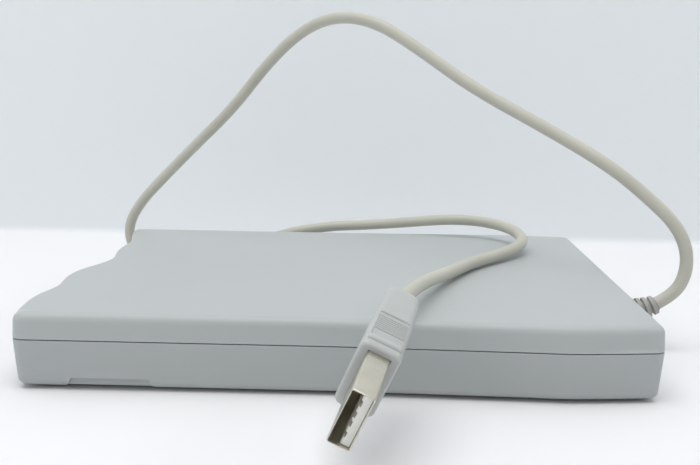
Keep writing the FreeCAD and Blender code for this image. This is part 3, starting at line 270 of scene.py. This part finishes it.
# the jacket is the round tube along the route's smooth line, and path is that line's own points
jacket_mesh = as_mesh(line, "cord_jacket")
crv.bevel_depth = 0.0
bare = as_mesh(line, "cord_path")
bpy.data.meshes.remove(bare)
bpy.data.objects.remove(line)
for p in jacket_mesh.polygons:
    p.use_smooth = True
cord = bpy.data.objects.new("cord_jacket", jacket_mesh)
scene.collection.objects.link(cord)
jacket_mesh.materials.clear()
jacket_mesh.materials.append(M["cord"])
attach(cord, "case")
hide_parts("cord")


# ---------------------------------------------------------------- case outline
CASE_HALF, WID_HALF, CORNER = 71.5, 52.0, 2.6
SWELL = [(-70, 0), (-30, 0), (-12, 0.0), (0, 0.08), (12, 0.45), (24, 0.85), (36, 1.28), (46, 1.66), (50.8, 1.84),
         (54.0, 1.66), (59, 1.22), (64, 0.68), (68.9, 0.12)]
WAVE = [(-49.5, -70.6), (-46, -71.05), (-42, -71.38), (-37.5, -71.5), (-33.5, -71.1), (-29.5, -70.1), (-25.5, -69.55),
        (-22, -69.6), (-18, -70.1), (-14.5, -70.3), (-11, -70.0), (-7, -68.95), (-3, -67.3), (1, -65.85), (5, -64.95),
        (9, -64.75), (13, -65.2), (17.5, -65.95), (22, -66.25), (26.5, -66.0), (30.5, -65.85), (34.5, -66.1),
        (39, -66.8), (44, -67.9), (49.5, -69.0)]
swell_f = smooth_table(SWELL)
wave_f = smooth_table(WAVE)


def swell(x):
    return 0.0 if x <= -12 else max(0.0, swell_f(min(x, 68.9)))


def ring(d, r=None, side_n=44, wave_n=66, arc_n=7):
    """Closed plan outline drawn in by d, as (x, y) in mm, always with the same number of points."""
    r = max(0.8, CORNER - d) if r is None else r
    xr = CASE_HALF - d
    xs_r = xr - r
    yf = WID_HALF - d + swell(xs_r)

    def left(y):
        return wave_f(y) + d * 1.05
    y_lo, y_hi = -(WID_HALF - d) + r, (WID_HALF - d) - r
    xn, xf = left(y_lo) + r, left(y_hi) + r
    pts = []
    for k in range(side_n + 1):
        x = xn + (xs_r - xn) * k / side_n
        pts.append((x, -(WID_HALF - d + swell(x))))
    for k in range(1, arc_n):
        a = -math.pi / 2 + math.pi / 2 * k / arc_n
        pts.append((xs_r + r * math.cos(a), -(yf - r) + r * math.sin(a)))
    for k in range(13):
        pts.append((xr, -(yf - r) + 2 * (yf - r) * k / 12))
    for k in range(1, arc_n):
        a = math.pi / 2 * k / arc_n
        pts.append((xs_r + r * math.cos(a), (yf - r) + r * math.sin(a)))
    for k in range(side_n + 1):
        x = xs_r + (xf - xs_r) * k / side_n
        pts.append((x, WID_HALF - d + swell(x)))
    for k in range(1, arc_n):
        a = math.pi / 2 + math.pi / 2 * k / arc_n
        pts.append((xf + r * math.cos(a), (WID_HALF - d - r) + r * math.sin(a)))
    for k in range(wave_n + 1):
        y = y_hi + (y_lo - y_hi) * k / wave_n
        pts.append((left(y), y))
    for k in range(1, arc_n):
        a = math.pi + math.pi / 2 * k / arc_n
        pts.append((xn + r * math.cos(a), -(WID_HALF - d - r) + r * math.sin(a)))
    return pts


def stack(bm, levels):
    """Rings of one outline at (z, inset) levels, skinned into a wall. Returns the rings of vertices."""
    rings = []
    for z, d in levels:
        rings.append([bm.verts.new((x / 1000, y / 1000, z / 1000)) for x, y in ring(d)])
    for a, b in zip(rings, rings[1:]):
        n = len(a)
        for i in range(n):
            j = (i + 1) % n
            bm.faces.new((a[i], a[j], b[j], b[i]))
    return rings


def finish_mesh(bm, name):
    bmesh.ops.recalc_face_normals(bm, faces=bm.faces)
    me = bpy.data.meshes.new(name)
    bm.to_mesh(me)
    bm.free()
    return me


def bool_cut(obj, boxes):
    """Cuts closed tool meshes out of obj and applies the result."""
    tools = []
    for k, me in enumerate(boxes):
        t = bpy.data.objects.new("tool", me)
        scene.collection.objects.link(t)
        m = obj.modifiers.new("cut", "BOOLEAN")
        m.operation = "DIFFERENCE"
        m.solver = "EXACT"
        m.object = t
        tools.append(t)
    dg = bpy.context.evaluated_depsgraph_get()
    new = bpy.data.meshes.new_from_object(obj.evaluated_get(dg))
    obj.modifiers.clear()
    old = obj.data
    obj.data = new
    bpy.data.meshes.remove(old)
    for t in tools:
        bpy.data.objects.remove(t)


def box_mesh(lo, hi):
    bm = bmesh.new()
    bmesh.ops.create_cube(bm, size=1.0)
    for v in bm.verts:
        for i in range(3):
            v.co[i] = ((lo[i] + hi[i]) / 2 + v.co[i] * (hi[i] - lo[i])) / 1000
    return finish_mesh(bm, "tool")


def cyl_mesh(p, axis, r, length, seg=48):
    bm = bmesh.new()
    bmesh.ops.create_cone(bm, cap_ends=True, segments=seg, radius1=r / 1000, radius2=r / 1000, depth=length / 1000)
    q = Vector(axis).to_track_quat("Z", "Y")
    c = Vector(p) + Vector(axis) * (length / 2)
    for v in bm.verts:
        v.co = q @ v.co + c / 1000
    return finish_mesh(bm, "tool")


def prism_mesh(loop, y0, y1):
    """A loop of (x, z) points drawn from y0 to y1."""
    bm = bmesh.new()
    a = [bm.verts.new((x / 1000, y0 / 1000, z / 1000)) for x, z in loop]
    b = [bm.verts.new((x / 1000, y1 / 1000, z / 1000)) for x, z in loop]
    bm.faces.new(a)
    bm.faces.new(b)
    n = len(a)
    for i in range(n):
        bm.faces.new((a[i], a[(i + 1) % n], b[(i + 1) % n], b[i]))
    return finish_mesh(bm, "tool")


def cover(name, outer, inner, kind, cad, cuts):
    """A case half: outer wall with rolled rim, inner wall, and a flat lip between them at the parting line."""
    bm = bmesh.new()
    ro = stack(bm, outer)
    ri = stack(bm, inner)
    n = len(ro[0])
    for i in range(n):
        j = (i + 1) % n
        bm.faces.new((ro[0][i], ro[0][j], ri[0][j], ri[0][i]))
    bm.faces.new(ro[-1])
    bm.faces.new(ri[-1])
    bmesh.ops.triangulate(bm, faces=[f for f in bm.faces if len(f.verts) > 4])
    me = finish_mesh(bm, name)
    o = link(name, me, kind, "case")
    bool_cut(o, cuts)
    for p in o.data.polygons:
        p.use_smooth = True
    if not o.data.materials:
        o.data.materials.append(M[kind])
    es = o.modifiers.new("edges", "EDGE_SPLIT")
    es.split_angle = math.radians(28)
    # broad faces keep their own direction, so no shading runs along the flat sides
    wn = o.modifiers.new("flat_faces", "WEIGHTED_NORMAL")
    wn.keep_sharp = True
    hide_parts(cad)
    return o


def rolled(z0, z1, d_end, r, at_top, steps=10):
    """(z, inset) levels up a tapered wall that rolls over with radius r."""
    lv = []
    span = abs(z1 - z0)
    for k in range(4):
        t = (span - r) * k / 4
        lv.append((z0 + t if at_top else z0 - t, d_end * t / span))
    for k in range(steps + 1):
        a = math.pi / 2 * k / steps
        t = span - r + r * math.sin(a)
        lv.append((z0 + t if at_top else z0 - t, d_end * t / span + r * (1 - math.cos(a))))
    return lv


PART, GAP = 11.5, 0.22
SLOT = box_mesh((-90, -46, 9.4), (-62.75, 46, 13.7))
# the parting edge: a fine chamfer on each side of a shadow gap
top_outer = [(PART + GAP / 2, 0.12), (PART + GAP / 2 + 0.12, 0.0), (PART + GAP / 2 + 0.4, 0.014)] + rolled(PART + GAP / 2 + 0.12, 17.5, 0.3, 2.0, True)[1:]
top_inner = [(PART + GAP / 2, 1.8), (16.0, 1.9)]
RX, RZ_, RR = 71.9, 0, 0
exit_p = Vector((80.65, -12.0, 12.3))
bend = math.atan2(2.6, 4.6)
bend_r = (exit_p.x - 71.9) / math.sin(bend)
exit_z0 = exit_p.z - bend_r * (1 - math.cos(bend))
hole = cyl_mesh((67, -12.0, exit_z0), (1, 0, 0), 2.92, 8)
top = cover("top_shell", top_outer, top_inner, "case", "top_cover", [SLOT.copy(), hole.copy()])

bot_outer = [(PART - GAP / 2, 0.12), (PART - GAP / 2 - 0.12, 0.0), (PART - GAP / 2 - 0.4, 0.022)] + rolled(PART - GAP / 2 - 0.12, 0.7, 0.85, 1.75, False)[1:]
bot_inner = [(PART - GAP / 2, 1.8), (2.2, 1.8)]
cuts = [SLOT.copy(), hole.copy(),
        box_mesh((-90, -38.25, 4.2), (-63.0, -28.75, 8.05)), cyl_mesh((-90, 36.0, 6.3), (1, 0, 0), 1.25, 27),
        prism_mesh([(-59.3, -0.5), (-57.7, 2.9), (-40.5, 2.9), (-39.3, -0.5)], -60, -50.55),
        box_mesh((-58.9, -60, -1), (-39.6, -48.2, 1.25))]
for x, y in ((-56.5, -42.5), (-56.5, 42.5), (57.0, -42.5), (57.0, 42.5)):
    cuts.append(cyl_mesh((x, y, 0), (0, 0, 1), 4.65, 1.1))
for x, y in ((65.4, -45.4), (65.4, 45.4)):
    cuts.append(cyl_mesh((x, y, 0), (0, 0, 1), 2.4, 3.1))
bottom = cover("bottom_shell", bot_outer, bot_inner, "base", "bottom_cover", cuts)
# solid block around the slot between the shells' walls, seen through the slot mouth
bm = bmesh.new()


def throat_points(z):
    ys = [-46 + 92 * k / 60 for k in range(61)]
    return [(wave_f(y) + 0.9, y, z) for y in ys]


for z in (9.4, 13.7):
    a = [bm.verts.new((x / 1000, y / 1000, z / 1000)) for x, y, _ in throat_points(z)]
    b = [bm.verts.new((-62.75 / 1000, y / 1000, z / 1000)) for _, y, _ in throat_points(z)]
    dz = -0.35 if z < 10 else 0.35
    a2 = [bm.verts.new((v.co.x, v.co.y, v.co.z + dz / 1000)) for v in a]
    b2 = [bm.verts.new((v.co.x, v.co.y, v.co.z + dz / 1000)) for v in b]
    for i in range(60):
        bm.faces.new((a[i], a[i + 1], b[i + 1], b[i]))
        bm.faces.new((a2[i], a2[i + 1], b2[i + 1], b2[i]))
        bm.faces.new((a[i], a[i + 1], a2[i + 1], a2[i]))
        bm.faces.new((b[i], b[i + 1], b2[i + 1], b2[i]))
    for i in (0, 60):
        bm.faces.new((a[i], b[i], b2[i], a2[i]))
throat = link("slot_throat", finish_mesh(bm, "slot_throat"), "base", "case", 30)


# ---------------------------------------------------------------- strain relief
def revolve_along(bm, stations, seg=40):
    """Skins circles of radius r at (point, direction, r) stations and closes both ends."""
    rings = []
    for p, d, r in stations:
        d = Vector(d).normalized()
        side = Vector((0, 1, 0))
        upv = d.cross(side).normalized()
        rings.append([bm.verts.new((Vector(p) + (side * math.cos(2 * math.pi * k / seg) + upv * math.sin(2 * math.pi * k / seg)) * r) / 1000)
                      for k in range(seg)])
    for a, b in zip(rings, rings[1:]):
        for i in range(seg):
            j = (i + 1) % seg
            bm.faces.new((a[i], a[j], b[j], b[i]))
    bm.faces.new(rings[0])
    bm.faces.new(rings[-1])


def on_bend(t):
    a = bend * t
    return (Vector((71.9 + bend_r * math.sin(a), -12.0, exit_z0 + bend_r * (1 - math.cos(a)))), Vector((math.cos(a), 0, math.sin(a))))


st = [(Vector((66.8, -12, exit_z0)), (1, 0, 0), 1.95), (Vector((67.5, -12, exit_z0)), (1, 0, 0), 1.95), (Vector((67.5, -12, exit_z0)), (1, 0, 0), 3.9),
      (Vector((69.4, -12, exit_z0)), (1, 0, 0), 3.9), (Vector((69.4, -12, exit_z0)), (1, 0, 0), 2.85), (Vector((71.9, -12, exit_z0)), (1, 0, 0), 2.85)]
rib_n = 5
for k in range(rib_n):
    base_r = 3.75 - 0.3 * k
    for t, rr in ((0.0, base_r - 0.75), (0.2, base_r - 0.75), (0.24, base_r - 0.12), (0.30, base_r), (0.78, base_r - 0.1), (0.86, base_r - 0.24), (0.9, base_r - 0.75)):
        p, dv = on_bend((k + t) / rib_n)
        st.append((p, dv, rr if k or t > 0.1 else 2.8))
p, dv = on_bend(1.0)
st.append((p, dv, 1.92))
bm = bmesh.new()
revolve_along(bm, st)
relief = link("relief_boot", finish_mesh(bm, "relief_boot"), "relief", "case", 35)
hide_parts("strain_relief")

# ---------------------------------------------------------------- plug
vz = Vector((0.2, 0.9585, 0.2035)).normalized()
va = Vector((-0.37, 0.267, -0.89))
va = (va - vz * va.dot(vz)).normalized()
vb = va.cross(vz)
PO = Vector((12.35, -60.5, 21.2)) - vz * 39.3
PM = Matrix(((vb.x, va.x, vz.x, PO.x), (vb.y, va.y, vz.y, PO.y), (vb.z, va.z, vz.z, PO.z), (0, 0, 0, 1)))


def oval(x, y, r, seg=6):
    """Rounded rectangle x by y, as (x, y) points."""
    pts = []
    for cx, cy, a0 in ((x / 2 - r, y / 2 - r, 0), (-x / 2 + r, y / 2 - r, 90), (-x / 2 + r, -y / 2 + r, 180), (x / 2 - r, -y / 2 + r, 270)):
        for k in range(seg + 1):
            a = math.radians(a0 + 90 * k / seg)
            pts.append((cx + r * math.cos(a), cy + r * math.sin(a)))
    return pts


def loft(bm, sections, cap0=True, cap1=True):
    """sections: (z, x, y, r[, dx, dy]) rounded rectangles along the plug's axis."""
    rings = []
    for s in sections:
        z, x, y, r = s[:4]
        dx, dy = (s[4], s[5]) if len(s) > 4 else (0, 0)
        rings.append([bm.verts.new((PM @ Vector((px + dx, py + dy, z))) / 1000) for px, py in oval(x, y, r)])
    for a, b in zip(rings, rings[1:]):
        n = len(a)
        for i in range(n):
            j = (i + 1) % n
            bm.faces.new((a[i], a[j], b[j], b[i]))
    if cap0:
        bm.faces.new(rings[0])
    if cap1:
        bm.faces.new(rings[-1])
    return rings


def local_box(lo, hi, r=0.0):
    bm_ = bmesh.new()
    bmesh.ops.create_cube(bm_, size=1.0)
    for v in bm_.verts:
        q = Vector([(lo[i] + hi[i]) / 2 + v.co[i] * (hi[i] - lo[i]) for i in range(3)])
        v.co = (PM @ q) / 1000
    return finish_mesh(bm_, "tool")


# metal shell: a folded tube with a rolled mouth, windows and a seam on one broad face
bm = bmesh.new()
loft(bm, [(16.9, 4.5, 12.0, 0.55), (0.25, 4.5, 12.0, 0.55), (0.08, 4.44, 11.94, 0.52), (0.0, 4.3, 11.8, 0.46), (0.0, 4.04, 11.54, 0.36),
          (0.1, 3.94, 11.44, 0.32), (0.3, 3.9, 11.4, 0.3), (16.6, 3.9, 11.4, 0.3)], True, True)
shell = link("plug_can", finish_mesh(bm, "plug_can"), "nickel", "case")
tools = []
for sx in (-1, 1):
    for y in (-2.9, 2.9):
        tools.append(local_box((sx * 2.25 - 0.5, y - 1.1, 5.2), (sx * 2.25 + 0.5, y + 1.1, 7.6)))
tools.append(local_box((-2.4, -0.05, -0.5), (-2.1, 0.05, 12.9)))
bool_cut(shell, tools)
for p_ in shell.data.polygons:
    p_.use_smooth = True
es = shell.modifiers.new("edges", "EDGE_SPLIT")
es.split_angle = math.radians(32)
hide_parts("plug_shell")

# insulator tongue with four shallow contact channels
bm = bmesh.new()
loft(bm, [(16.5, 1.85, 11.4, 0.28, 1.025, 0), (0.95, 1.85, 11.4, 0.28, 1.025, 0), (0.7, 1.5, 11.1, 0.22, 1.1, 0)])
tongue = link("plug_tongue", finish_mesh(bm, "plug_tongue"), "white", "case")
tools = [local_box((-0.2, y - 0.62, -0.5), (0.5, y + 0.62, 11.0)) for y in (-3.5, -1.0, 1.0, 3.5)]
bool_cut(tongue, tools)
for p_ in tongue.data.polygons:
    p_.use_smooth = True
es = tongue.modifiers.new("edges", "EDGE_SPLIT")
es.split_angle = math.radians(32)
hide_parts("plug_insulator")
# contact strips in the channels
bm = bmesh.new()
for y, z0 in ((-3.5, 1.8), (-1.0, 2.8), (1.0, 2.8), (3.5, 1.8)):
    loft(bm, [(10.6, 0.2, 1.0, 0.06, 0.40, y), (z0 + 0.4, 0.2, 1.0, 0.06, 0.40, y), (z0, 0.1, 0.8, 0.03, 0.46, y)])
strips = link("plug_strips", finish_mesh(bm, "plug_strips"), "gold", "case", 30)
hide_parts("plug_contacts")

# overmould: thick front, a bar and a shallow panel with fine ridges on each narrow face, blunt tail
bm = bmesh.new()
sec = [(13.0, 7.0, 13.8, 1.3), (13.12, 7.4, 14.2, 1.4), (13.45, 7.85, 14.65, 1.5), (14.0, 8.0, 14.8, 1.55), (17.0, 7.95, 14.75, 1.5), (22.0, 7.85, 14.65, 1.5),
       (25.6, 7.75, 14.55, 1.5), (31.0, 7.6, 14.4, 1.55), (35.0, 7.45, 14.1, 1.7), (37.2, 7.3, 13.8, 1.8), (38.2, 7.0, 13.3, 1.9), (38.8, 6.5, 12.6, 1.9),
       (39.15, 5.8, 11.8, 1.8), (39.3, 5.0, 11.0, 1.7)]
loft(bm, sec)
mold = link("plug_grip", finish_mesh(bm, "plug_grip"), "plug", "case")


def ridged_tool(sy, x_half, z0, z1, depth):
    """Closed cutter for one narrow face: takes a shallow panel out and leaves fine rounded ridges standing in it."""
    prof_ = [(z0, 9.0), (z0, 7.32), (z0 + 0.25, 7.32 - depth)]
    rz0, rz1, ridges = 19.4, 24.9, 8
    for k in range(ridges):
        pz = (rz1 - rz0) / ridges
        c = rz0 + pz * (k + 0.5)
        prof_ += [(c - pz * 0.48, 7.32 - depth), (c - pz * 0.25, 7.32 - depth * 0.30), (c + pz * 0.10, 7.32 - depth * 0.22), (c + pz * 0.36, 7.32 - depth)]
    prof_ += [(z1 - 0.25, 7.32 - depth), (z1, 7.32), (z1, 9.0)]
    bm_ = bmesh.new()
    a = [bm_.verts.new((PM @ Vector((-x_half, sy * y, z))) / 1000) for z, y in prof_]
    b = [bm_.verts.new((PM @ Vector((x_half, sy * y, z))) / 1000) for z, y in prof_]
    n_ = len(a)
    bm_.faces.new(a)
    bm_.faces.new(b)
    for i_ in range(n_):
        bm_.faces.new((a[i_], a[(i_ + 1) % n_], b[(i_ + 1) % n_], b[i_]))
    bmesh.ops.triangulate(bm_, faces=[f for f in bm_.faces if len(f.verts) > 4])
    return finish_mesh(bm_, "tool")


tools = [local_box((-2.27, -6.02, 12.0), (2.27, 6.02, 17.0)), ridged_tool(-1, 3.1, 16.6, 26.0, 0.32), ridged_tool(1, 3.1, 16.6, 26.0, 0.32)]
bool_cut(mold, tools)
for p_ in mold.data.polygons:
    p_.use_smooth = True
es = mold.modifiers.new("edges", "EDGE_SPLIT")
es.split_angle = math.radians(30)
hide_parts("plug_overmold")
# raised bar at the front of each narrow face
bm = bmesh.new()
for sy in (-1, 1):
    seg = 14
    rings = []
    for x, k_ in ((-3.35, 0.0), (-3.3, 0.5), (-3.1, 0.85), (-2.7, 1.0), (2.7, 1.0), (3.1, 0.85), (3.3, 0.5), (3.35, 0.0)):
        rr = 0.78 * max(k_, 0.02)
        rings.append([bm.verts.new((PM @ Vector((x, sy * (7.2 + rr * math.sin(2 * math.pi * q / seg)), 15.35 + rr * math.cos(2 * math.pi * q / seg)))) / 1000) for q in range(seg)])
    for a, b in zip(rings, rings[1:]):
        for i in range(seg):
            bm.faces.new((a[i], a[(i + 1) % seg], b[(i + 1) % seg], b[i]))
    bm.faces.new(rings[0])
    bm.faces.new(rings[-1])
bars = link("grip_bars", finish_mesh(bm, "grip_bars"), "plug", "case", 60)

# ---------------------------------------------------------------- stage and light
bm = bmesh.new()
prof = [(-1.2, 0), (0.1280, 0)]
for k in range(1, 13):
    a = math.pi / 2 * k / 12
    prof.append((0.1280 + 0.003 * math.sin(a), 0.003 * (1 - math.cos(a))))
prof.append((0.131, 1.0))
rows = [[bm.verts.new((x, y, z)) for y, z in prof] for x in (-1.4, 1.4)]
for i in range(len(prof) - 1):
    bm.faces.new((rows[0][i], rows[1][i], rows[1][i + 1], rows[0][i + 1]))
floor_me = finish_mesh(bm, "floor")
if floor_me.polygons[0].normal.z < 0:
    floor_me.flip_normals()
for p_ in floor_me.polygons:
    p_.use_smooth = True
floor = bpy.data.objects.new("floor", floor_me)
scene.collection.objects.link(floor)
fm = bpy.data.materials.new("floor")
fm.use_nodes = True
nt = fm.node_tree
bs = nt.nodes["Principled BSDF"]
bs.inputs["Roughness"].default_value = 0.75
tc = nt.nodes.new("ShaderNodeTexCoord")
sep = nt.nodes.new("ShaderNodeSeparateXYZ")
nt.links.new(tc.outputs["Object"], sep.inputs[0])
mr = nt.nodes.new("ShaderNodeMapRange")
mr.inputs["From Min"].default_value = 0.1280
mr.inputs["From Max"].default_value = 0.1310
nt.links.new(sep.outputs["Y"], mr.inputs[0])
mx = nt.nodes.new("ShaderNodeMix")
mx.data_type = "RGBA"
mx.inputs[6].default_value = lin(239, 239, 241) + [1]
mx.inputs[7].default_value = lin(236, 241, 244) + [1]
nt.links.new(mr.outputs[0], mx.inputs[0])
nt.links.new(mx.outputs[2], bs.inputs["Base Color"])
# seen from behind or below, the backdrop lets the view through
geo = nt.nodes.new("ShaderNodeNewGeometry")
clear = nt.nodes.new("ShaderNodeBsdfTransparent")
both = nt.nodes.new("ShaderNodeMixShader")
nt.links.new(geo.outputs["Backfacing"], both.inputs[0])
nt.links.new(bs.outputs[0], both.inputs[1])
nt.links.new(clear.outputs[0], both.inputs[2])
nt.links.new(both.outputs[0], nt.nodes["Material Output"].inputs[0])
floor_me.materials.append(fm)


def area(name, pos, target, size, power, color=(1, 1, 1)):
    d = bpy.data.lights.new(name, "AREA")
    d.shape = "RECTANGLE"
    d.size, d.size_y = size
    d.energy = power
    d.color = color
    o = bpy.data.objects.new(name, d)
    scene.collection.objects.link(o)
    v = Vector(pos) - Vector(target)
    o.matrix_world = Matrix.Translation(Vector(pos)) @ v.to_track_quat("Z", "Y").to_matrix().to_4x4()
    return o


area("key", (-0.05, -0.16, 0.85), (0, 0, 0), (0.9, 0.5), 4.7, (1.0, 0.995, 0.985))
area("fill", (0.62, 0.06, 0.4), (0.03, 0, 0.04), (0.4, 0.12), 0.6, (1.0, 1.0, 0.99))
area("front", (-0.55, -0.45, 0.35), (0, 0, 0.01), (0.6, 0.4), 0.75, (1, 1, 1))
w = bpy.data.worlds.new("world")
scene.world = w
w.use_nodes = True
bg = w.node_tree.nodes["Background"]
bg.inputs[0].default_value = (0.95, 0.965, 0.985, 1)
bg.inputs[1].default_value = 0.36
scene.view_settings.view_transform = "Standard"

bpy.context.view_layer.update()
bpy.context.evaluated_depsgraph_get().update()
